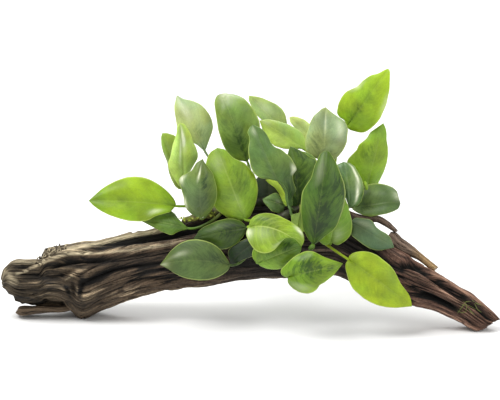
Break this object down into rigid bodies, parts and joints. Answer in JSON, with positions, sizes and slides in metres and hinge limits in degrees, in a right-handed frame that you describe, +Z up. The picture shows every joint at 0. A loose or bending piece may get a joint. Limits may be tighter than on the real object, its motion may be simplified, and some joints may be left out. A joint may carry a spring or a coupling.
{
  "type": "anubias nana on driftwood",
  "caption": "Low water plant with broad pointed leaves on short stalks, rooted along the top of an arched, split piece of driftwood that stands on its two ends.",
  "frame": {"origin": "on the surface it rests on, under the middle of the whole piece", "axes": "+X along the driftwood to its thin tip, the plant's front faces -Y, +Z up"},
  "size_m": [0.3112, 0.1171, 0.1608],
  "materials": {
    "driftwood": "matte",
    "leaf": "satin",
    "rhizome": "satin",
    "root": "matte"
  },
  "bodies": {
    "root": {"driftwood_lower_prong": "driftwood", "driftwood_trunk": "driftwood", "driftwood_upper_strand": "driftwood", "leaf_back_left": "leaf", "leaf_back_low_left": "leaf", "leaf_back_low_right": "leaf", "leaf_back_middle": "leaf", "leaf_back_right": "leaf", "leaf_centre_back": "leaf", "leaf_centre_crescent": "leaf", "leaf_centre_dark": "leaf", "leaf_centre_shade": "leaf", "leaf_centre_wavy": "leaf", "leaf_far_left": "leaf", "leaf_front_behind_tall": "leaf", "leaf_front_bright": "leaf", "leaf_front_hidden": "leaf", "leaf_front_low": "leaf", "leaf_front_quilted": "leaf", "leaf_front_right": "leaf", "leaf_front_tall": "leaf", "leaf_left_back": "leaf", "leaf_left_broad": "leaf", "leaf_left_front": "leaf", "leaf_left_low": "leaf", "leaf_left_upright": "leaf", "leaf_right_folded": "leaf", "leaf_right_low": "leaf", "leaf_right_round": "leaf", "leaf_right_tall": "leaf", "leaf_top_back": "leaf", "leaf_top_bright": "leaf", "leaf_top_broad": "leaf", "leaf_top_grey": "leaf", "leaf_top_left": "leaf", "leaf_top_right": "leaf", "leaf_top_small": "leaf", "leaf_under_grey": "leaf", "leaf_wood_dark": "leaf", "leaf_wood_left": "leaf", "leaf_wood_upper": "leaf", "rhizome": "rhizome", "rhizome_side_branch": "rhizome", "root_back_far_left": "root", "root_back_left": "root", "root_back_middle": "root", "root_back_right": "root"}
  },
  "joints": []
}
